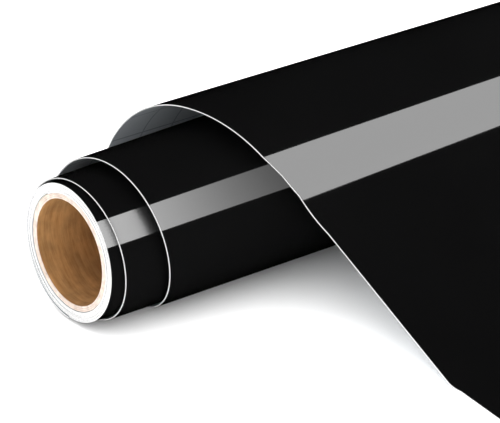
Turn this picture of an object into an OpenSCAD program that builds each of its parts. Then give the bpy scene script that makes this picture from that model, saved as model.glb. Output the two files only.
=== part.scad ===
// Roll of self-adhesive sign vinyl, standing on a table with its last turns pulled loose.
// X runs along the roll from the core's near mouth, Z is up, and the sheet runs off towards -Y.
// The origin is on the core's axis at the near mouth.

/* [Core] */
// Bore of the cardboard core
core_bore_d = 38.1; // [25.4:0.1:50.8]
// Thickness of each of the core's three plies
ply_t = 0.665; // [0.5:0.005:0.9]

/* [Sheet] */
// Width of the sheet, and length of the core
web_w = 304.8; // [200:0.1:400]
// Thickness of the vinyl film with its adhesive
film_t = 0.1; // [0.08:0.01:0.15]
// Thickness of the coated paper liner under the film
liner_t = 0.3; // [0.2:0.01:0.35]
// Turns that are still wound tight on the core
tight_turns = 8.6; // [4.6:1:11.6]

/* [Loose turns] */
// Gap left between neighbouring turns that slip on each other
turn_gap = 0.15; // [0.1:0.01:0.3]
// How far the loose turns open out in all
opening_out = 6.7; // [5:0.1:8]
// The turn at which half of that has happened, counted from the tight roll
opens_at = 1.78; // [1.7:0.01:1.9]
// How many turns the opening out takes
opens_over = 0.34; // [0.25:0.01:0.4]
// How far the sheet's edge steps along the roll in each loose turn
edge_step = 5.5; // [4:0.1:7]
// The part of a turn over which the edge stays flush before it steps
flush_turn = 0.35; // [0.2:0.01:0.45]
// How much that step grows with each further turn
edge_growth = 2; // [1:0.1:2.5]
// Extra step of the last half turn, where the sheet opens like a cone
cone_step = 5; // [3:0.1:8]
// How much the outermost turn narrows along the roll, as a share for each millimetre
cone_taper = 0.0004; // [0:0.0001:0.0005]

/* [Free sheet] */
// Radius of the sheet in front of the crest
shoulder_r = 35; // [30:1:38]
// Slope of the sheet where it leaves the round of the roll, in degrees
shoulder_slope = 47; // [42:1:50]
// Steepest slope, in degrees
steepest = 54; // [52:1:58]
// Slope of the straight ramp down to the table, in degrees
ramp_slope = 25; // [22:1:30]
// Radius of the bend where the ramp meets the table
foot_bend_r = 12; // [8:1:20]
// Length of sheet that lies flat on the table
flat_run = 82; // [60:1:100]
// Length of the film at the free end that is peeled back
peel_run = 25; // [15:1:35]
// Width of the tape that starts the sheet on the core, in degrees round the core
tape_span = 40; // [25:1:60]

/* [Hidden] */

$fn = 180;
film_colour = [0.03, 0.03, 0.03];
liner_colour = [0.95, 0.95, 0.93];
kraft_colour = [0.62, 0.42, 0.24];
tape_colour = [0.85, 0.85, 0.8];

sheet_t = film_t + liner_t;
turn_pitch = sheet_t + turn_gap;
core_r = core_bore_d / 2 + 3 * ply_t;
tight_r = core_r + sheet_t * (tight_turns + 1);
first_r = tight_r + turn_pitch;
last_turn = 2;
crest = 2.5;
axis_h = last_turn * turn_pitch + first_r;
tape_t = 0.2;
tape_clear = 2;
// Half of the gap where a sheet is cut between two bodies, along the sheet
cut = 0.15;
// Steps for each turn, and for each bend of the free sheet
turn_steps = 90;
pack_steps = 60;
bend_steps = 8;
// Air between the turns of the tight roll
hair = 0.004;

// The free sheet from the crest to the table, one bend to a line:
// [length along the sheet, degrees that the slope grows, step of the edge along the roll]
crest_r = spread(crest);
bends = [
    [shoulder_r * shoulder_slope * PI / 180, shoulder_slope, 12],
    [8.3, steepest - shoulder_slope, 4.5],
    [8.3, shoulder_slope - steepest, 3.3],
    [16, ramp_slope - shoulder_slope, 2.5]
];
foot_drop = foot_bend_r * (1 - cos(ramp_slope));
foot_length = foot_bend_r * ramp_slope * PI / 180;
ramp_start = bend_end(len(bends) - 1);
ramp_length = (ramp_start[1] - sheet_t - foot_drop) / sin(ramp_slope);
foot_start = [
    ramp_start[0] + ramp_length * cos(ramp_slope),
    ramp_start[1] - ramp_length * sin(ramp_slope)
];
foot_end = [foot_start[0] + foot_bend_r * sin(ramp_slope), sheet_t];
ramp_step = 4;
flat_step = -4;
// Air that the peeled film keeps from the liner under it
peel_gap = 0.02;

// ---- The path of the sheet's outer face, as [y, height above the table] ----

// Radius of the outer face after s loose turns
function spread(s) =
    first_r + turn_pitch * s + opening_out / (1 + exp((opens_at - s) / opens_over));

// Height of the outer face over the table, each time it passes under the core
function lift(s) = turn_pitch * max(0, last_turn - s);

// Place of the near edge along the roll after s loose turns
function edge_x(s) =
    edge_step * s * (1 - exp(-pow(s / flush_turn, 2))) + edge_growth * pow(s, 3)
    + cone_step * pow(max(0, s - last_turn) / (crest - last_turn), 2);

// A point that lies depth under the outer face, after s loose turns
function turn_point(s, depth) =
    let (r = spread(s), a = 360 * s)
    [(r - depth) * sin(a), lift(s) + r - (r - depth) * cos(a)];

// Slope of the free sheet at the start of bend i
function slope_before(i) = i == 0 ? 0 : slope_before(i - 1) + bends[i - 1][1];

// Place along bend i, from p, at the share f of its length
function along_bend(p, slope, bend, f) =
    let (k = bend[1] * PI / 180 / bend[0], now = slope + bend[1] * f)
    [p[0] + (sin(now) - sin(slope)) / k, p[1] + (cos(now) - cos(slope)) / k];

// Where bend i ends, as [distance in front of the roll's axis, height]
function bend_end(i) =
    i < 0 ? [0, 2 * crest_r] : along_bend(bend_end(i - 1), slope_before(i), bends[i], 1);

// Moves a point of a sloping sheet down into its thickness, and returns [y, height]
function sunk(p, slope, depth) = [-p[0] + depth * sin(slope), p[1] - depth * cos(slope)];

function edge_before(i) = i == 0 ? edge_x(crest) : edge_before(i - 1) + bends[i - 1][2];

// ---- Stations: [edge x, outer point, inner point], where each point is [y, height] ----

function turn_stations(from, to, top, bottom) =
    let (n = ceil((to - from) * turn_steps))
    [for (i = [0:n]) let (s = from + (to - from) * i / n)
        [edge_x(s), turn_point(s, top), turn_point(s, bottom)]];

function bend_stations(i, top, bottom) =
    let (start = bend_end(i - 1), slope = slope_before(i))
    [for (j = [1:bend_steps])
        let (
            f = j / bend_steps,
            p = along_bend(start, slope, bends[i], f),
            now = slope + bends[i][1] * f
        )
        [edge_before(i) + bends[i][2] * f, sunk(p, now, top), sunk(p, now, bottom)]];

function ramp_station(run, top, bottom) =
    let (
        p = [ramp_start[0] + run * cos(ramp_slope), ramp_start[1] - run * sin(ramp_slope)],
        x = edge_before(len(bends)) + ramp_step * run / ramp_length
    )
    [x, sunk(p, ramp_slope, top), sunk(p, ramp_slope, bottom)];

function foot_station(f, top, bottom) =
    let (
        a = ramp_slope * (1 - f),
        p = [foot_end[0] - foot_bend_r * sin(a), foot_end[1] + foot_bend_r * (1 - cos(a))],
        x = edge_before(len(bends)) + ramp_step
    )
    [x, sunk(p, a, top), sunk(p, a, bottom)];

// Near (side 0) or far (side 1) edge of the flat sheet, run millimetres past the foot of the ramp
function past_foot(run, side) =
    let (x = edge_before(len(bends)) + ramp_step + side * web_w)
    [x, -foot_end[0] * cone(x) - run];

// The same edge, back millimetres before the free end, which is cut square to the edges
function before_end(back, side) =
    [
        edge_before(len(bends)) + ramp_step + flat_step * (1 - back / flat_run) + side * web_w,
        back - foot_end[0] - flat_run + side * web_w * flat_step / flat_run
    ];

// ---- Building a strip of sheet from its stations ----

// The outermost turn and the free sheet narrow towards the far end, like a cone
function cone(x) = 1 - cone_taper * (x - edge_x(crest));

// A point in the part's own frame
function placed(x, p, taper) =
    let (k = taper ? cone(x) : 1)
    [x, p[0] * k, p[1] * k - axis_h];

// One closed strip, the width of the web
module strip(stations, taper) {
    n = len(stations);
    points = [for (s = stations, side = [0, 1], face = [1, 2])
        placed(s[0] + side * web_w, s[face], taper)];
    // Corners of each station in order round the strip
    ring = [0, 1, 3, 2];
    sides = [for (i = [0:n - 2], c = [0:3])
        let (a = ring[c], b = ring[(c + 1) % 4])
        [4 * i + a, 4 * i + b, 4 * i + 4 + b, 4 * i + 4 + a]];
    ends = [
        [for (c = [3:-1:0]) ring[c]],
        [for (c = [0:3]) 4 * (n - 1) + ring[c]]
    ];
    polyhedron(points = points, faces = concat(sides, ends), convexity = 6);
}

// A tight spiral of sheet between two depths, measured from the inside of the sheet
module spiral(low, high) {
    n = round(tight_turns * pack_steps);
    rail = function(h) [for (i = [0:n])
        let (
            t = tight_turns * (i / n - 1),
            r = core_r + hair + sheet_t * (t + tight_turns) + h,
            a = 360 * t
        )
        [r * sin(a), -r * cos(a)]];
    inner = rail(low);
    outer = rail(high);
    turned = [for (i = [n:-1:0]) outer[i]];
    along_x() linear_extrude(web_w) polygon(concat(inner, turned));
}

// Turns a shape drawn in X and Y so that it stands in Y and Z and grows along X
module along_x() {
    multmatrix([[0, 0, 1, 0], [1, 0, 0, 0], [0, 1, 0, 0], [0, 0, 0, 1]]) children();
}

module ply(index) {
    r = core_bore_d / 2 + index * ply_t;
    color(kraft_colour) along_x() difference() {
        cylinder(h = web_w, r = r + ply_t);
        translate([0, 0, -1]) cylinder(h = web_w + 2, r = r);
    }
}

// ---- Sub-parts ----

module core_inner_ply() { ply(0); }

module core_middle_ply() { ply(1); }

module core_outer_ply() { ply(2); }

// Tape that holds the start of the sheet, in the wedge of space that the first turn leaves
module core_start_tape() {
    start = -360 * tight_turns - 90;
    r = core_r + hair;
    color(tape_colour) along_x() linear_extrude(web_w) difference() {
        intersection() {
            circle(r + tape_t);
            polygon([
                [0, 0],
                for (a = [start - tape_clear - tape_span:5:start - tape_clear])
                    2 * r * [cos(a), sin(a)]
            ]);
        }
        circle(r);
    }
}

module tight_roll_liner() { color(liner_colour) spiral(0, liner_t); }

module tight_roll_film() { color(film_colour) spiral(liner_t, sheet_t - hair); }

module loose_turn(index, top, bottom) {
    s = cut / (2 * PI * first_r);
    strip(turn_stations(index + s, index + 1 - s, top, bottom), false);
}

module inner_turn_liner() { color(liner_colour) loose_turn(0, film_t, sheet_t); }

module inner_turn_film() { color(film_colour) loose_turn(0, 0, film_t); }

module middle_turn_liner() { color(liner_colour) loose_turn(1, film_t, sheet_t); }

module middle_turn_film() { color(film_colour) loose_turn(1, 0, film_t); }

module outer_turn(top, bottom) {
    s = cut / (2 * PI * first_r);
    strip(concat(
        turn_stations(last_turn + s, crest, top, bottom),
        [for (i = [0:len(bends) - 1]) each bend_stations(i, top, bottom)]
    ), true);
}

module outer_turn_liner() { color(liner_colour) outer_turn(film_t, sheet_t); }

module outer_turn_film() { color(film_colour) outer_turn(0, film_t); }

module ramp(top, bottom) {
    strip(concat(
        [ramp_station(2 * cut, top, bottom), ramp_station(ramp_length, top, bottom)],
        [for (j = [1:bend_steps]) foot_station(j / bend_steps, top, bottom)]
    ), true);
}

module ramp_liner() { color(liner_colour) ramp(film_t, sheet_t); }

module ramp_film() { color(film_colour) ramp(0, film_t); }

// Flat sheet between two edges from near to far, with its faces top and bottom under the film's face
module flat_piece(start, end, top, bottom) {
    translate([0, 0, sheet_t - bottom - axis_h])
        linear_extrude(bottom - top) polygon([start[0], start[1], end[1], end[0]]);
}

foot_line = [past_foot(2 * cut, 0), past_foot(2 * cut, 1)];
free_end_line = [before_end(0, 0), before_end(0, 1)];

module free_end_liner() {
    color(liner_colour) flat_piece(foot_line, free_end_line, film_t, sheet_t);
}

module free_end_film() {
    back = peel_run + cut;
    peel_line = [before_end(back, 0), before_end(back, 1)];
    color(film_colour) flat_piece(foot_line, peel_line, 0, film_t);
}

// Film at the free end that lifts off its liner
module peel_strip_film() {
    back = peel_run - cut;
    peel_line = [before_end(back, 0), before_end(back, 1)];
    color(film_colour) flat_piece(peel_line, free_end_line, 0, film_t - peel_gap);
}

core_inner_ply();
core_middle_ply();
core_outer_ply();
core_start_tape();
tight_roll_liner();
tight_roll_film();
inner_turn_liner();
inner_turn_film();
middle_turn_liner();
middle_turn_film();
outer_turn_liner();
outer_turn_film();
ramp_liner();
ramp_film();
free_end_liner();
free_end_film();
peel_strip_film();
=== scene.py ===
import math

import bpy
import numpy as np
from mathutils import Matrix, Vector


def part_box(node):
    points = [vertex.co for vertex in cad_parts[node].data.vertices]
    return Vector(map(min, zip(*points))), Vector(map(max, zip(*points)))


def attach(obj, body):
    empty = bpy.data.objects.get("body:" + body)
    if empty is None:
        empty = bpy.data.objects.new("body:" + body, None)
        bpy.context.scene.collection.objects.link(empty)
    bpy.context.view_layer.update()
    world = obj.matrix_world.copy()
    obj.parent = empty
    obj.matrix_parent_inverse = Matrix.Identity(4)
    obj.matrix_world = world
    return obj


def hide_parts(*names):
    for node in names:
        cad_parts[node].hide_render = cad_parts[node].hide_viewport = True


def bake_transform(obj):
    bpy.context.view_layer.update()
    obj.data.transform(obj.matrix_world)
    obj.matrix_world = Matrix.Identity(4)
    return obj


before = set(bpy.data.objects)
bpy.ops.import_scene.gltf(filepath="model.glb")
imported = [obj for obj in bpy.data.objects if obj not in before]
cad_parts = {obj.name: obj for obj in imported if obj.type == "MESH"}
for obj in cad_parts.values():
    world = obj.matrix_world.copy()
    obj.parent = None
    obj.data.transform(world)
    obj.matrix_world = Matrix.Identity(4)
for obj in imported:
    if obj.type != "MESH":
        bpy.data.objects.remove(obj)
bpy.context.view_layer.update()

# Roll of sign vinyl. Lengths below are in millimetres, x runs along the roll, y to the back,
# and heights count from the table; to_row() turns such points into metres in the row frame.

MM = 0.001

# ---- Sizes that the frame gives ----
TABLE_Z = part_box("free_end_liner")[0][2] / MM
WEB_W = (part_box("core_inner_ply")[1][0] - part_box("core_inner_ply")[0][0]) / MM
CORE_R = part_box("core_outer_ply")[1][2] / MM

# ---- The core ----
PLY_T = 0.665

# ---- The sheet ----
SHEET_T = 0.4
# Depths under the film's outer face of the loose sheet: the film's back and the liner's back,
# where the liner is drawn a little thicker than it is
FILM_SKIN = 0.1
SHEET_SKIN = 0.46
# How much narrower than its liner the film is at the front of a turn
FILM_INSET = 0.22
TURN_GAP = 0.15
TURN_PITCH = SHEET_T + TURN_GAP
TIGHT_TURNS = 8.6
FIRST_R = CORE_R + SHEET_T * (TIGHT_TURNS + 1) + TURN_PITCH
LAST_TURN = 2.0
CREST = 2.5
OPENING_OUT = 6.7
OPENS_AT = 1.78
OPENS_OVER = 0.344
# Step of the near edge in a turn, its growth with the cube of the turns, and the cone's part
EDGE_STEP = 5.46
EDGE_GROWTH = 2.015
CONE_STEP = 5.6
FLUSH_TURN = 0.35

# ---- The free sheet, as it leaves the crest of the roll ----
CREST_X = 50.1
CREST_H = 66.0
# How much the crest falls for each millimetre of narrowing
CREST_FALL = 0.033
NARROWING_TO = 190.0
NARROWING_MORE = 55.0
SHOULDER_SLOPE = 47.0
STEEPEST = 54.0
RAMP_SLOPE = 25.2
# Radius of the shoulder, and the lengths of the steep and the flattening bend; the first two
# shrink with the narrowing
SHOULDER_R = 35.5
SHOULDER_SHRINK = 0.042
STEEP_RUN = 17.2
STEEP_SHRINK = 0.026
FLATTENING_RUN = 16.0
FOOT_R = 12.0
FREE_END_Y = 201.6
FREE_END_SKEW = 0.049
FLAT_RUN = 82.0
# Edge step along x over each stretch: shoulder, two steep ones, flattening, ramp, foot, flat
EDGE_STEPS = (11.9, 4.5, 3.3, 2.5, 3.2, 1.2, -4.1)
PEEL_RUN = 25.0

# ---- The grid printed on the liner, in metres ----
GRID_PITCH = 0.0127
GRID_LINE = 0.0005

# ---- Camera ----
CAMERA_AZIMUTH = -36.152
CAMERA_ELEVATION = 28.043
CAMERA_TARGET = (59.82, -21.98, 32.93)
CAMERA_DISTANCE = 6120.0
SENSOR = 36.0
VIEW_WIDTH = 169.6


def to_row(x, y, h):
    """Points given in millimetres over the table, as an (..., 3) array in metres."""
    return np.stack([x, y, h + TABLE_Z], axis=-1) * MM


# ---- Path of the sheet's outer face ----


def radius(s):
    """Radius of the loose turns after s turns."""
    return FIRST_R + TURN_PITCH * s + OPENING_OUT / (1 + np.exp((OPENS_AT - s) / OPENS_OVER))


def turn_edge(s):
    """Where the near edge lies along x after s turns."""
    cone = np.clip((s - LAST_TURN) / (CREST - LAST_TURN), 0, None)
    stepping = 1 - np.exp(-((s / FLUSH_TURN) ** 2))
    return EDGE_STEP * s * stepping + EDGE_GROWTH * s**3 + CONE_STEP * cone**2


def narrowed(x):
    """Millimetres of narrowing at x: even over the near part of the roll, and less beyond it."""
    d = x - CREST_X
    reach = NARROWING_TO - CREST_X
    return np.where(d < reach, d, reach + NARROWING_MORE * (1 - np.exp(-(d - reach) / NARROWING_MORE)))


def crest_height(x):
    return CREST_H - CREST_FALL * narrowed(x)


def turn_profile(x, s):
    """y, height and outward normal of the loose turns."""
    angle = 2 * math.pi * s
    lift = TURN_PITCH * np.clip(LAST_TURN - s, 0, None)
    r = radius(s)
    grow = np.where(s > LAST_TURN, crest_height(x) / (2 * radius(CREST)), 1.0)
    y = r * np.sin(angle) * grow
    h = lift + r * (1 - np.cos(angle)) * grow
    return y, h, np.sin(angle), -np.cos(angle)


def free_profile(x, u):
    """y, height and outward normal of the free sheet; u counts its stretches from the crest."""
    n = narrowed(x)
    shoulder = (SHOULDER_R - SHOULDER_SHRINK * n) * math.radians(SHOULDER_SLOPE)
    steep = (STEEP_RUN - STEEP_SHRINK * n) / 2
    bends = (
        (shoulder, SHOULDER_SLOPE),
        (steep, STEEPEST - SHOULDER_SLOPE),
        (steep, SHOULDER_SLOPE - STEEPEST),
        (FLATTENING_RUN + 0 * n, RAMP_SLOPE - SHOULDER_SLOPE),
    )
    out = np.zeros_like(x)
    h = crest_height(x)
    slope = np.zeros_like(x)
    for length, turn in bends:
        k = math.radians(turn) / length
        after = slope + math.radians(turn) * np.clip(u, 0, 1)
        out = out + (np.sin(after) - np.sin(slope)) / k
        h = h + (np.cos(after) - np.cos(slope)) / k
        slope = after
        u = u - 1
    a = math.radians(RAMP_SLOPE)
    run = np.clip(u, 0, 1) * (h - SHEET_T - FOOT_R * (1 - math.cos(a))) / math.sin(a)
    out = out + run * math.cos(a)
    h = h - run * math.sin(a)
    f = np.clip(u - 1, 0, 1)
    after = slope * (1 - f)
    out = out + FOOT_R * (np.sin(slope) - np.sin(after))
    h = h - FOOT_R * (np.cos(after) - np.cos(slope))
    f = np.clip(u - 2, 0, 1)
    end = FREE_END_Y + FREE_END_SKEW * (x - CREST_X)
    out = out + f * (end - out)
    return -out, h, -np.sin(after), np.cos(after)


def free_edge(u):
    """Where the near edge of the free sheet lies along x."""
    x = turn_edge(CREST) + 0 * u
    for i, step in enumerate(EDGE_STEPS):
        f = np.clip(u - i, 0, 1)
        x = x + step * f
    return x


# ---- Meshes ----


def new_object(name, points, faces, materials, face_materials=None, sharp=None):
    """A mesh object with smooth faces and the given sharp edges."""
    mesh = bpy.data.meshes.new(name)
    mesh.from_pydata([tuple(p) for p in points], [], faces)
    for material in materials:
        mesh.materials.append(material)
    if face_materials is not None:
        mesh.polygons.foreach_set("material_index", face_materials)
    mesh.polygons.foreach_set("use_smooth", [True] * len(mesh.polygons))
    mesh.update()
    if sharp:
        for edge in mesh.edges:
            if tuple(sorted(edge.vertices)) in sharp:
                edge.use_edge_sharp = True
    obj = bpy.data.objects.new(name, mesh)
    # The film mirrors the lights only, so that its stripe runs on unbroken
    obj.visible_glossy = False
    bpy.context.scene.collection.objects.link(obj)
    return obj


def slab(name, top, bottom, along, materials, faces_of=(0, 0, 0)):
    """A thin closed slab between two grids of points; along holds the run of each row.
    faces_of gives the material of its top, its bottom and its rim."""
    rows, columns = top.shape[:2]
    count = rows * columns
    points = np.concatenate([top.reshape(-1, 3), bottom.reshape(-1, 3)])
    faces = []
    kinds = []
    for i in range(rows - 1):
        for j in range(columns - 1):
            a = i * columns + j
            quad = (a, a + 1, a + columns + 1, a + columns)
            faces.append(quad)
            faces.append(tuple(count + q for q in reversed(quad)))
            kinds += [faces_of[0], faces_of[1]]
    ring = list(range(columns))
    ring += [i * columns + columns - 1 for i in range(1, rows)]
    ring += [(rows - 1) * columns + j for j in range(columns - 2, -1, -1)]
    ring += [i * columns for i in range(rows - 2, 0, -1)]
    sharp = set()
    for a, b in zip(ring, ring[1:] + ring[:1]):
        faces.append((b, a, count + a, count + b))
        kinds.append(faces_of[2])
        sharp.add(tuple(sorted((a, b))))
        sharp.add((min(a, b) + count, max(a, b) + count))
    corners = (0, columns - 1, (rows - 1) * columns, rows * columns - 1)
    sharp.update((c, c + count) for c in corners)
    obj = new_object(name, points, faces, materials, kinds, sharp)
    place = obj.data.attributes.new("sheet_at", "FLOAT_VECTOR", "POINT")
    across = np.linspace(0, WEB_W * MM, columns)
    grid = np.zeros((2, rows, columns, 3), np.float32)
    grid[..., 0] = along[:, None]
    grid[..., 1] = across[None, :]
    place.data.foreach_set("vector", grid.ravel())
    return obj


def sheet_piece(name, profile, edge, params, depths, inset, materials, faces_of, across=17):
    """A stretch of film or liner: params run along the sheet, depths lie under its outer face."""
    t = np.repeat(np.asarray(params, float)[:, None], across, axis=1)
    x = edge(t) + np.linspace(0, WEB_W, across)[None, :]
    y, h, ny, nh = profile(x, t)
    # The film is flush at the back of a turn and a hair narrower than its liner at the front
    margin = (inset * np.clip(0.4 - ny, 0, 1))[:, :1]
    x = x + margin * np.linspace(1, -1, across)[None, :]
    y, h, ny, nh = profile(x, t)
    faces = [to_row(x, y - d * ny, h - d * nh) for d in depths]
    steps = np.linalg.norm(np.diff(faces[0][:, 0], axis=0), axis=1)
    along = np.concatenate([[0], np.cumsum(steps)])
    piece = slab(name, faces[0], faces[1], along, materials, faces_of)
    return piece, float(along[-1])


def steps_of(start, end, step):
    return np.linspace(start, end, max(2, int(round((end - start) / step)) + 1))


# ---- Materials ----


class Nodes:
    """A short way to write a node tree."""

    def __init__(self, name):
        self.material = bpy.data.materials.new(name)
        self.material.use_nodes = True
        self.tree = self.material.node_tree
        self.shader = self.tree.nodes["Principled BSDF"]

    def add(self, kind, **values):
        node = self.tree.nodes.new(kind)
        for key, value in values.items():
            if hasattr(node, key):
                setattr(node, key, value)
            else:
                node.inputs[key.replace("_", " ")].default_value = value
        return node

    def link(self, out, into):
        self.tree.links.new(out, into)

    def set(self, **values):
        for key, value in values.items():
            self.shader.inputs[key.replace("_", " ")].default_value = value

    def ramp(self, source, *stops):
        node = self.add("ShaderNodeValToRGB")
        elements = node.color_ramp.elements
        while len(elements) < len(stops):
            elements.new(0.5)
        for element, (place, colour) in zip(elements, stops):
            element.position = place
            element.color = colour if len(colour) == 4 else (*colour, 1)
        self.link(source, node.inputs["Fac"])
        return node

    def bump(self, source, strength, distance):
        node = self.add("ShaderNodeBump", Strength=strength, Distance=distance)
        self.link(source, node.inputs["Height"])
        self.link(node.outputs["Normal"], self.shader.inputs["Normal"])
        return node


def film_material():
    """Glossy black vinyl: a hint of orange peel and the finest unevenness in its gloss."""
    m = Nodes("gloss_black_film")
    m.set(IOR=1.5)
    at = m.add("ShaderNodeTexCoord")
    cloud = m.add("ShaderNodeTexNoise", Scale=18.0, Detail=3.0)
    m.link(at.outputs["Object"], cloud.inputs["Vector"])
    colour = m.ramp(cloud.outputs["Fac"], (0.3, (0.0039, 0.0039, 0.004)), (0.7, (0.005, 0.005, 0.0051)))
    m.link(colour.outputs["Color"], m.shader.inputs["Base Color"])
    gloss = m.ramp(cloud.outputs["Fac"], (0.3, (0.03, 0.03, 0.03)), (0.7, (0.05, 0.05, 0.05)))
    m.link(gloss.outputs["Color"], m.shader.inputs["Roughness"])
    peel = m.add("ShaderNodeTexNoise", Scale=900.0, Detail=1.0)
    m.link(at.outputs["Object"], peel.inputs["Vector"])
    m.bump(peel.outputs["Fac"], 0.004, 0.0001)
    return m.material


def liner_edge_material():
    """Cut edge of the coated paper liner."""
    m = Nodes("liner_cut_edge")
    m.set(Roughness=0.7)
    at = m.add("ShaderNodeTexCoord")
    fibre = m.add("ShaderNodeTexNoise", Scale=700.0, Detail=3.0)
    m.link(at.outputs["Object"], fibre.inputs["Vector"])
    colour = m.ramp(fibre.outputs["Fac"], (0.3, (0.80, 0.80, 0.80)), (0.7, (0.88, 0.88, 0.88)))
    m.link(colour.outputs["Color"], m.shader.inputs["Base Color"])
    return m.material


def liner_material():
    """Back of the liner: coated paper with a faint printed cutting grid. Its blue-grey tone, darker than
    the cut edge, is in part painted shade for the shaded inside of the loop.
    """
    m = Nodes("liner_back")
    m.set(Roughness=0.45, IOR=1.45)
    at = m.add("ShaderNodeAttribute", attribute_name="sheet_at")
    split = m.add("ShaderNodeSeparateXYZ")
    m.link(at.outputs["Vector"], split.inputs["Vector"])
    lines = []
    for axis in ("X", "Y"):
        turns = m.add("ShaderNodeMath", operation="DIVIDE")
        m.link(split.outputs[axis], turns.inputs[0])
        turns.inputs[1].default_value = GRID_PITCH
        part = m.add("ShaderNodeMath", operation="FRACT")
        m.link(turns.outputs[0], part.inputs[0])
        line = m.add("ShaderNodeMath", operation="LESS_THAN")
        m.link(part.outputs[0], line.inputs[0])
        line.inputs[1].default_value = GRID_LINE / GRID_PITCH
        lines.append(line)
    grid = m.add("ShaderNodeMath", operation="MAXIMUM")
    m.link(lines[0].outputs[0], grid.inputs[0])
    m.link(lines[1].outputs[0], grid.inputs[1])
    where = m.add("ShaderNodeTexCoord")
    cloud = m.add("ShaderNodeTexNoise", Scale=60.0, Detail=4.0)
    m.link(where.outputs["Object"], cloud.inputs["Vector"])
    # Paper tone: the paper's own random mottling, darkened and tinted blue-grey as painted shade
    paper = m.ramp(cloud.outputs["Fac"], (0.3, (0.70, 0.75, 0.79)), (0.7, (0.76, 0.80, 0.84)))
    mix = m.add("ShaderNodeMix", data_type="RGBA")
    m.link(grid.outputs[0], mix.inputs["Factor"])
    m.link(paper.outputs["Color"], mix.inputs["A"])
    mix.inputs["B"].default_value = (0.42, 0.47, 0.52, 1)
    m.link(mix.outputs["Result"], m.shader.inputs["Base Color"])
    m.bump(cloud.outputs["Fac"], 0.05, 0.0003)
    return m.material


def kraft_material(name, light, dark, mottle):
    """Brown paperboard: streaks that run round the tube, flecks and a fibrous bump."""
    m = Nodes(name)
    m.set(Roughness=0.85)
    at = m.add("ShaderNodeTexCoord")
    stretch = m.add("ShaderNodeMapping")
    stretch.inputs["Scale"].default_value = (9.0, 1.0, 1.0)
    m.link(at.outputs["Object"], stretch.inputs["Vector"])
    streak = m.add("ShaderNodeTexNoise", Scale=90.0, Detail=6.0, Roughness=0.65)
    m.link(stretch.outputs["Vector"], streak.inputs["Vector"])
    colour = m.ramp(streak.outputs["Fac"], (0.3, dark), (0.68, light))
    blotch = m.add("ShaderNodeTexNoise", Scale=mottle, Detail=3.0)
    m.link(at.outputs["Object"], blotch.inputs["Vector"])
    shade = m.ramp(blotch.outputs["Fac"], (0.35, (0.72, 0.72, 0.72)), (0.65, (1, 1, 1)))
    mix = m.add("ShaderNodeMix", data_type="RGBA", blend_type="MULTIPLY")
    mix.inputs["Factor"].default_value = 1.0
    m.link(colour.outputs["Color"], mix.inputs["A"])
    m.link(shade.outputs["Color"], mix.inputs["B"])
    m.link(mix.outputs["Result"], m.shader.inputs["Base Color"])
    m.bump(streak.outputs["Fac"], 0.3, 0.0003)
    return m.material


def tape_material():
    """Paper tape, a little creased."""
    m = Nodes("paper_tape")
    m.set(Roughness=0.55)
    at = m.add("ShaderNodeTexCoord")
    crease = m.add("ShaderNodeTexNoise", Scale=250.0, Detail=4.0)
    m.link(at.outputs["Object"], crease.inputs["Vector"])
    colour = m.ramp(crease.outputs["Fac"], (0.3, (0.62, 0.58, 0.48)), (0.7, (0.75, 0.71, 0.6)))
    m.link(colour.outputs["Color"], m.shader.inputs["Base Color"])
    m.bump(crease.outputs["Fac"], 0.2, 0.0002)
    return m.material


FILM = film_material()
LINER = liner_material()
LINER_EDGE = liner_edge_material()
KRAFT = kraft_material("kraft_wall", (0.62, 0.34, 0.13), (0.40, 0.19, 0.055), 160.0)
KRAFT_CUT = kraft_material("kraft_cut_end", (0.95, 0.82, 0.74), (0.86, 0.69, 0.58), 400.0)
TAPE = tape_material()


# ---- Core ----


def ply_tube(name, node, wall_steps=180, ends=((0.0, 0.22), (0.12, 0.05), (0.3, 0.0))):
    """One paperboard ply: a tube whose cut ends are a little rounded.
    ends holds pairs of depth along x and how far the wall is drawn in there."""
    low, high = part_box(node)
    outer = high[2] / MM
    inner = outer - PLY_T
    length = (high[0] - low[0]) / MM
    inside = [(d, inner + e * PLY_T) for d, e in reversed(ends)]
    outside = [(d, outer - e * PLY_T) for d, e in ends]
    near = inside + outside
    far = [(length - d, r) for d, r in reversed(outside)] + [(length - d, r) for d, r in reversed(inside)]
    stations = [length * i / 12 for i in range(1, 12)]
    loop = near + [(x, outer) for x in stations] + far + [(x, inner) for x in reversed(stations)]
    angles = np.linspace(0, 2 * math.pi, wall_steps, endpoint=False)
    points = []
    for a in angles:
        for x, r in loop:
            points.append((x * MM, r * math.sin(a) * MM, r * math.cos(a) * MM))
    n = len(loop)
    cut = len(near)
    faces = []
    kinds = []
    for i in range(wall_steps):
        j = (i + 1) % wall_steps
        for k in range(n):
            m = (k + 1) % n
            faces.append((i * n + k, i * n + m, j * n + m, j * n + k))
            at_end = k < cut - 1 or cut + len(stations) <= k < 2 * cut + len(stations) - 1
            kinds.append(1 if at_end else 0)
    tube = new_object(name, points, faces, [KRAFT, KRAFT_CUT], kinds)
    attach(tube, "tight_roll")
    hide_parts(node)
    return tube


def build_core():
    ply_tube("core_inner_tube", "core_inner_ply")
    ply_tube("core_middle_tube", "core_middle_ply")
    ply_tube("core_outer_tube", "core_outer_ply")
    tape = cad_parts["core_start_tape"]
    tape.data.materials.clear()
    tape.data.materials.append(TAPE)


# ---- Tight roll ----

# Each turn has KNOTS_PER_TURN places where its end and its dark line are drawn afresh
PACK_STEPS_PER_TURN = 90
KNOTS_PER_TURN = 4
END_WANDER = 0.1
# Air between two turns, between film and liner, and between the first turn and the core
TURN_AIR = 0.008
FILM_AIR = 0.012
CORE_AIR = 0.004


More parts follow.
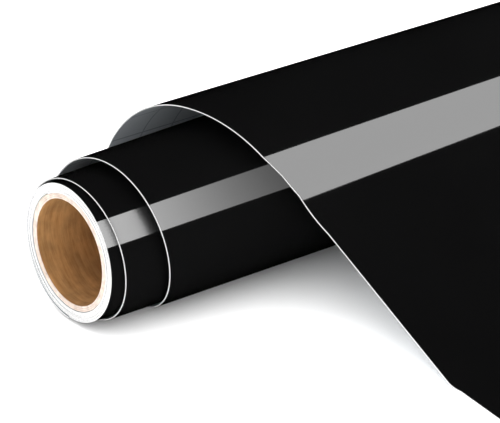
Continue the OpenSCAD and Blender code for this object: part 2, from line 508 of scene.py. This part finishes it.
def pack_piece(name, node, film, materials):
    """Film or liner wound tight on the core. The turns wander a hair in and out,
    and the dark line of the film's edge is finer in some places than in others."""
    rng = np.random.default_rng(5)
    knots = int(TIGHT_TURNS * KNOTS_PER_TURN) + 6
    wander = rng.uniform(-END_WANDER, END_WANDER, knots)
    line = rng.uniform(0, 1, knots) ** 3
    count = int(TIGHT_TURNS * PACK_STEPS_PER_TURN)
    t = np.linspace(-TIGHT_TURNS, 0, count + 1)
    turn_part = (t + TIGHT_TURNS) * KNOTS_PER_TURN
    shift = np.interp(turn_part, np.arange(knots), wander)
    outside = SHEET_T - TURN_AIR
    seam = outside - FILM_AIR - FILM_SKIN * np.interp(turn_part, np.arange(knots), line)
    inside = CORE_R + CORE_AIR + SHEET_T * (t + TIGHT_TURNS)
    angle = 2 * math.pi * t
    faces = []
    for r in (inside + outside, inside + seam) if film else (inside + seam, inside):
        y = r * np.sin(angle)
        z = -r * np.cos(angle)
        x = np.stack([shift, shift + WEB_W], axis=1)
        faces.append(np.stack([x, np.stack([y, y], 1), np.stack([z, z], 1)], axis=-1) * MM)
    steps = np.linalg.norm(np.diff(faces[0][:, 0], axis=0), axis=1)
    along = np.concatenate([[0], np.cumsum(steps)])
    piece = slab(name, faces[0], faces[1], along, materials, (0, 0, len(materials) - 1))
    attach(piece, "tight_roll")
    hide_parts(node)


def build_tight_roll():
    pack_piece("packed_liner", "tight_roll_liner", False, [LINER, LINER_EDGE])
    pack_piece("packed_film", "tight_roll_film", True, [FILM])


# ---- Loose turns and free sheet ----


def stretch(name, profile, edge, start, end, step, bodies, ends, nodes, held, rests_on):
    """One stretch of the sheet, film and liner, attached to its body, or baked in place when it lies
    between two bodies.
    """
    params = steps_of(start, end, step)
    liner, length = sheet_piece(
        name + "_liner_back", profile, edge, params, (FILM_SKIN, SHEET_SKIN), 0.0,
        [LINER_EDGE, LINER], (0, 1, 0),
    )
    film, length = sheet_piece(
        name + "_film_face", profile, edge, params, (0.0, FILM_SKIN), FILM_INSET, [FILM], (0, 0, 0),
    )
    for piece, kind in ((liner, "liner"), (film, "film")):
        finish_sheet(piece, bodies, [n + "_" + kind for n in nodes])


def finish_sheet(piece, bodies, nodes):
    if len(bodies) == 1:
        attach(piece, bodies[0])
    else:
        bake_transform(piece)
    if nodes:
        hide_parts(*nodes)


def row_point(x, y, h):
    return tuple(float(c) for c in to_row(np.array(x), np.array(y), np.array(h)))


def at_free(u):
    """A point of the free sheet at stretch u, in the row frame."""
    y, h, _, _ = free_profile(np.array(float(BLEND_X)), np.array(float(u)))
    return row_point(BLEND_X, float(y), float(h))


# Share of a turn between two rows of points, and of a stretch of the free sheet
TURN_STEP = 1 / 200
FREE_STEP = 1 / 24
PEEL_STEP = 1 / 60
# A station along the roll at which the ends passed to a stretch are taken, and their heights at the crest
BLEND_X = 200
MIDDLE_TOP = 57
OUTER_TOP = 62
# The film splits this far ahead of the peel hinge, counted in stretches
PEEL_LEAD = 0.12


def build_loose_sheet():
    stretch(
        "inner_turn", turn_profile, turn_edge, 0.002, 1.0, TURN_STEP, ["inner_turn"], None,
        ["inner_turn"], "folded", ["packed_liner"],
    )
    up = [row_point(BLEND_X, 0, 0), row_point(BLEND_X, 0, MIDDLE_TOP)]
    stretch(
        "middle_turn_back", turn_profile, turn_edge, 1.0, 1.5, TURN_STEP,
        ["inner_turn", "middle_turn"], up, ["middle_turn"], "folded", ["inner_turn_liner_back"],
    )
    stretch(
        "middle_turn_front", turn_profile, turn_edge, 1.5, 2.0, TURN_STEP, ["middle_turn"], None,
        [], "folded", ["inner_turn_liner_back"],
    )
    up = [row_point(BLEND_X, 0, 0), row_point(BLEND_X, 0, OUTER_TOP)]
    stretch(
        "outer_turn_back", turn_profile, turn_edge, 2.0, 2.5, TURN_STEP,
        ["middle_turn", "table_turn"], up, [], "folded", ["middle_turn_back_liner_back"],
    )
    stretch(
        "shoulder", free_profile, free_edge, 0.0, 4.5, FREE_STEP, ["table_turn", "ramp"],
        [at_free(3.75), at_free(4.12)], ["outer_turn"], "draped", ["middle_turn_front_film_face"],
    )
    stretch(
        "ramp_foot", free_profile, free_edge, 4.5, 6.25, FREE_STEP, ["ramp", "free_end"],
        [at_free(4.9), at_free(6.05)], ["ramp"], "laid", ["stage_floor"],
    )
    build_free_end()


def build_free_end():
    peel_from = 7 - PEEL_RUN / FLAT_RUN
    params = steps_of(6.25, 7.0, FREE_STEP)
    liner, length = sheet_piece(
        "free_end_liner_back", free_profile, free_edge, params, (FILM_SKIN, SHEET_T), 0.0,
        [LINER_EDGE, LINER], (0, 1, 0),
    )
    finish_sheet(liner, ["free_end"], ["free_end_liner"])
    params = steps_of(6.25, peel_from - PEEL_LEAD, FREE_STEP)
    film, length = sheet_piece(
        "free_end_film_face", free_profile, free_edge, params, (0.0, FILM_SKIN), FILM_INSET, [FILM],
        (0, 0, 0),
    )
    finish_sheet(
        film, ["free_end"], ["free_end_film"],
    )
    params = steps_of(peel_from - PEEL_LEAD, 7.0, PEEL_STEP)
    film, length = sheet_piece(
        "peel_film_face", free_profile, free_edge, params, (0.0, FILM_SKIN), FILM_INSET, [FILM],
        (0, 0, 0),
    )
    finish_sheet(
        film, ["free_end", "peel_strip"], ["peel_strip_film"],
    )


# ---- Floor, light and camera ----


def view_axes():
    """Right, up and towards-camera directions of the view."""
    a = math.radians(CAMERA_AZIMUTH)
    e = math.radians(CAMERA_ELEVATION)
    right = Vector((math.cos(a), math.sin(a), 0))
    up = Vector((-math.sin(a) * math.sin(e), math.cos(a) * math.sin(e), math.cos(e)))
    return right, up, right.cross(up)


def make_camera():
    data = bpy.data.cameras.new("camera")
    data.sensor_width = SENSOR
    data.lens = SENSOR * CAMERA_DISTANCE / VIEW_WIDTH
    data.clip_end = 14.0
    camera = bpy.data.objects.new("camera", data)
    right, up, back = view_axes()
    x, y, h = CAMERA_TARGET
    target = Vector(row_point(x, y, h))
    turn = Matrix((right, up, back)).transposed().to_4x4()
    camera.matrix_world = Matrix.Translation(target + back * CAMERA_DISTANCE * MM) @ turn
    bpy.context.scene.collection.objects.link(camera)
    bpy.context.scene.camera = camera


def make_floor():
    m = Nodes("floor_white")
    m.set(Roughness=0.9)
    m.shader.inputs["Specular IOR Level"].default_value = 0.0
    at = m.add("ShaderNodeTexCoord")
    grain = m.add("ShaderNodeTexNoise", Scale=30.0, Detail=2.0)
    m.link(at.outputs["Object"], grain.inputs["Vector"])
    colour = m.ramp(grain.outputs["Fac"], (0.3, (0.93, 0.93, 0.93)), (0.7, (0.94, 0.94, 0.94)))
    m.link(colour.outputs["Color"], m.shader.inputs["Base Color"])
    reach = 12.0
    z = TABLE_Z * MM - 0.0001
    points = [(-reach, -reach, z), (reach, -reach, z), (reach, reach, z), (-reach, reach, z)]
    floor = new_object("stage_floor", points, [(0, 1, 2, 3)], [m.material])
    floor.visible_glossy = False


# Distance in metres of the first stripe panel from the roll, and between one and the next
STRIP_DISTANCE = 0.3
PANEL_STEP = 0.008
# The place on the middle turn that the panels' planes face, and small steps to take a normal
FACED_X = 40
FACED_TURN = 1.66
NORMAL_STEP = 0.0005


def camera_place():
    _, _, back = view_axes()
    return Vector(row_point(*CAMERA_TARGET)) + back * CAMERA_DISTANCE * MM


def pack_profile(x, s):
    """y, height and outward normal of the tight roll, at the part s of a turn."""
    angle = 2 * math.pi * s
    r = FIRST_R - TURN_PITCH
    y = r * np.sin(angle)
    return y, r * (1 - np.cos(angle)) + (LAST_TURN + 1) * TURN_PITCH, np.sin(angle), -np.cos(angle)


def surface_at(profile, x, t):
    """A point of the sheet's outer face and its normal, in the row frame."""
    def place(x, t):
        y, h, _, _ = profile(np.array(float(x)), np.array(float(t)))
        return Vector(row_point(x, float(y), float(h)))

    here = place(x, t)
    along = place(x + 0.5, t) - place(x - 0.5, t)
    round_it = place(x, t + NORMAL_STEP) - place(x, t - NORMAL_STEP)
    normal = along.cross(round_it).normalized()
    _, _, ny, nh = profile(np.array(float(x)), np.array(float(t)))
    if normal.y * float(ny) + normal.z * float(nh) < 0:
        normal = -normal
    return here, normal


class LightPlane:
    """The plane of one stripe panel, square to the mirrored view of the middle turn's front."""

    def __init__(self, distance):
        here, normal = surface_at(turn_profile, FACED_X, FACED_TURN)
        ray = (here - camera_place()).normalized()
        self.normal = ray - 2 * ray.dot(normal) * normal
        self.centre = here + self.normal * distance

    def mirrored(self, profile, x, t):
        """The point of the plane that the camera sees mirrored in the sheet at x and t."""
        here, normal = surface_at(profile, x, t)
        ray = (here - camera_place()).normalized()
        ray = ray - 2 * ray.dot(normal) * normal
        reach = (self.centre - here).dot(self.normal) / ray.dot(self.normal)
        return here + ray * reach


def glow_material():
    """A see-through panel whose glow each of its corners holds."""
    material = bpy.data.materials.new("stripe_glow")
    material.use_nodes = True
    tree = material.node_tree
    tree.nodes.clear()
    out = tree.nodes.new("ShaderNodeOutputMaterial")
    glow = tree.nodes.new("ShaderNodeEmission")
    clear = tree.nodes.new("ShaderNodeBsdfTransparent")
    both = tree.nodes.new("ShaderNodeAddShader")
    level = tree.nodes.new("ShaderNodeAttribute")
    level.attribute_name = "glow"
    tree.links.new(level.outputs["Fac"], glow.inputs["Strength"])
    tree.links.new(glow.outputs["Emission"], both.inputs[0])
    tree.links.new(clear.outputs["BSDF"], both.inputs[1])
    tree.links.new(both.outputs["Shader"], out.inputs["Surface"])
    return material


def glow_panel(name, rows, glows, material, lit):
    """A light panel from rows of points and each row's glow, mirrored in the lit pieces or in all."""
    points = [p for row in rows for p in row]
    width = len(rows[0])
    starts = [width * i + k for i in range(len(rows) - 1) for k in range(width - 1)]
    faces = [(a, a + 1, a + width + 1, a + width) for a in starts]
    obj = new_object(name, points, faces, [material])
    levels = [g for g in glows for _ in range(width)]
    glow = obj.data.attributes.new("glow", "FLOAT", "POINT")
    glow.data.foreach_set("value", levels)
    obj.visible_camera = False
    obj.visible_diffuse = False
    obj.visible_shadow = False
    obj.visible_transmission = False
    obj.visible_glossy = True
    if lit:
        lit_by_it = bpy.data.collections.new(name + "_lights")
        for piece in lit:
            lit_by_it.objects.link(bpy.data.objects[piece])
        obj.light_linking.receiver_collection = lit_by_it


# Name, profile, turn, first and last slope of the stripe, its start, the gap that it leaves
# before the next turn's edge, and the pieces that mirror it
ROLL_STRIPES = (
    ("pack", pack_profile, 0, (40.8, 63.2), -12, 0.5, ("packed_film",)),
    ("inner", turn_profile, 0, (42.2, 63.8), 3, 2.6, ("inner_turn_film_face",)),
    (
        "middle", turn_profile, 1, (48.3, 67.8), 12, -20,
        ("middle_turn_front_film_face", "middle_turn_back_film_face"),
    ),
)
# The panels' glow along x, and the stations along x of the free sheet's panel
GLOW_AT = (-12, 5, 20, 37, 50, 64, 80)
GLOW = (13.5, 11.3, 8.8, 6.0, 4.1, 2.6, 1.5)
SHEET_STRIPE = (40, 62, 80, 100, 130, 160, 190, 220, 260, 300, 350, 400)
SHEET_GLOW = 7.7
SHEET_PIECES = ("shoulder_film_face",)

# Soft boxes off to the sides, in metres: name, two corners of the near edge, two of the far
# edge, and the glow. They are for the other views, and change the main one only faintly.
SIDE_BOXES = (
    ("overhead_box", ((-2.5, -0.05, 1.5), (-2.5, 0.2, 1.5)), ((0.4, -0.05, 1.5), (0.4, 0.2, 1.5)), 3.0),
    ("left_box", ((-3.0, -1.2, 0.5), (-3.0, -1.2, 1.1)), ((-3.0, 1.2, 0.5), (-3.0, 1.2, 1.1)), 2.0),
    ("right_box", ((2.7, 0.9, 2.7), (2.7, 1.6, 2.4)), ((5.5, 0.9, 2.7), (5.5, 1.6, 2.4)), 5.0),
)


def make_stripes():
    """Panels placed from the camera's view, one for each turn and one for the free sheet. Their
    mirror images join into one stripe there, and fall apart in other views."""
    material = glow_material()
    distance = STRIP_DISTANCE
    for name, profile, turn, slopes, start, gap, lit in ROLL_STRIPES:
        plane = LightPlane(distance)
        distance += PANEL_STEP
        parts = 0.5 + np.linspace(slopes[0], slopes[1], 9) / 360
        next_turns = parts if name == "pack" else turn + 1 + parts
        ends = turn_edge(next_turns) - gap
        rows = []
        glows = []
        for share in np.linspace(0, 1, 12):
            xs = start + (ends - start) * share
            rows.append([plane.mirrored(profile, x, turn + part) for x, part in zip(xs, parts)])
            glows.append(float(np.interp(xs.mean(), GLOW_AT, GLOW)))
        glow_panel(name + "_stripe_panel", rows, glows, material, lit)
    rows = []
    plane = LightPlane(distance)
    for x in SHEET_STRIPE:
        row = [plane.mirrored(free_profile, x, u) for u in (0.995, 1.25, 1.5, 1.75, 2.0)]
        rows.append(row + [row[-1] + (row[-1] - row[-2]) * 1.5])
    glow_panel("sheet_stripe_panel", rows, [SHEET_GLOW] * len(rows), material, SHEET_PIECES)
    make_side_boxes(material)


def make_side_boxes(material):
    """The soft boxes that shape the film seen from the back, the top and the ends."""
    for name, near, far, glow in SIDE_BOXES:
        rows = [[Vector(point) for point in near], [Vector(point) for point in far]]
        glow_panel(name, rows, [glow, glow], material, ())


def make_floor_light():
    """Soft light from all over the sky, for the floor alone."""
    data = bpy.data.lights.new("floor_light", "SUN")
    data.angle = math.radians(170)
    data.energy = 5.0
    data.cycles.max_bounces = 0
    light = bpy.data.objects.new("floor_light", data)
    light.visible_camera = False
    light.visible_glossy = False
    bpy.context.scene.collection.objects.link(light)
    lit = bpy.data.collections.new("floor_only")
    lit.objects.link(bpy.data.objects["stage_floor"])
    light.light_linking.receiver_collection = lit


def make_world():
    world = bpy.data.worlds.new("studio")
    world.use_nodes = True
    sky = world.node_tree.nodes["Background"]
    sky.inputs["Color"].default_value = (1, 1, 1, 1)
    sky.inputs["Strength"].default_value = 1.2
    world.cycles_visibility.glossy = False
    bpy.context.scene.world = world


def make_scene():
    view = bpy.context.scene.view_settings
    view.view_transform = "Standard"
    make_camera()
    make_world()
    make_floor()
    make_floor_light()


make_scene()
build_core()
build_tight_roll()
build_loose_sheet()
make_stripes()
